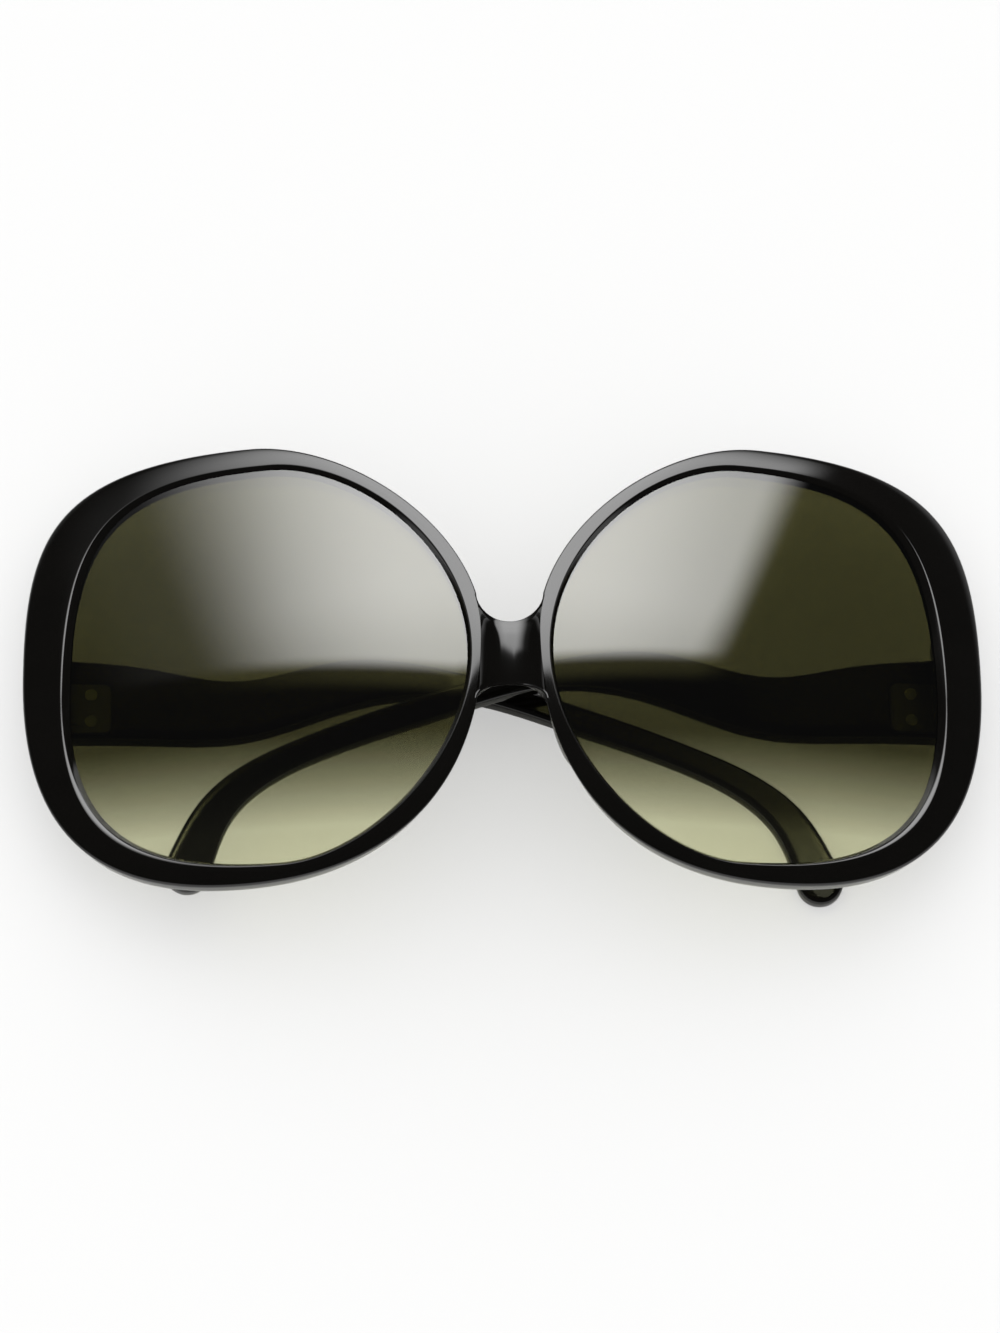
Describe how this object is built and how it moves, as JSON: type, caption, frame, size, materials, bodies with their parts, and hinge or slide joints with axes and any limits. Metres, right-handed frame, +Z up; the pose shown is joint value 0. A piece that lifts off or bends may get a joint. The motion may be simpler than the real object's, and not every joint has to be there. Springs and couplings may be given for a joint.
{
  "type": "sunglasses",
  "caption": "Oversized sunglasses with rounded-square gradient lenses, a glossy black front with a recessed bridge, and wavy temples that fold on metal hinges.",
  "frame": {"origin": "on the table, below the middle of the folded sunglasses' box", "axes": "+X across the face towards the right-hand lens as seen from the front, +Y from the cheeks to the brow, +Z up from the table to the front of the lenses"},
  "size_m": [0.1532, 0.0724, 0.0297],
  "materials": {
    "frame_plastic": "polished",
    "lens_tint": "polished gradient tint",
    "hinge_metal": "satin",
    "screw_metal": "bright",
    "core_metal": "plain"
  },
  "bodies": {
    "front": {"front_frame": "frame_plastic", "lens_left": "lens_tint", "lens_right": "lens_tint", "hinge_front_leaf_left": "hinge_metal", "hinge_front_leaf_right": "hinge_metal", "hinge_screw_left": "screw_metal", "hinge_screw_right": "screw_metal"},
    "left_arm": {"temple_left": "frame_plastic", "hinge_temple_leaf_left": "hinge_metal", "hinge_rivets_left": "screw_metal", "core_wire_left": "core_metal"},
    "right_arm": {"temple_right": "frame_plastic", "hinge_temple_leaf_right": "hinge_metal", "hinge_rivets_right": "screw_metal", "core_wire_right": "core_metal"}
  },
  "joints": [
    {"name": "left_temple_hinge", "type": "hinge", "parent": "front", "child": "left_arm", "pos_m": [-0.0706, -0.00215, 0.006], "axis": [0, 1, 0], "range_deg": [0, 92]},
    {"name": "right_temple_hinge", "type": "hinge", "parent": "front", "child": "right_arm", "pos_m": [0.0706, -0.00215, 0.006], "axis": [0, -1, 0], "range_deg": [0, 96]}
  ]
}
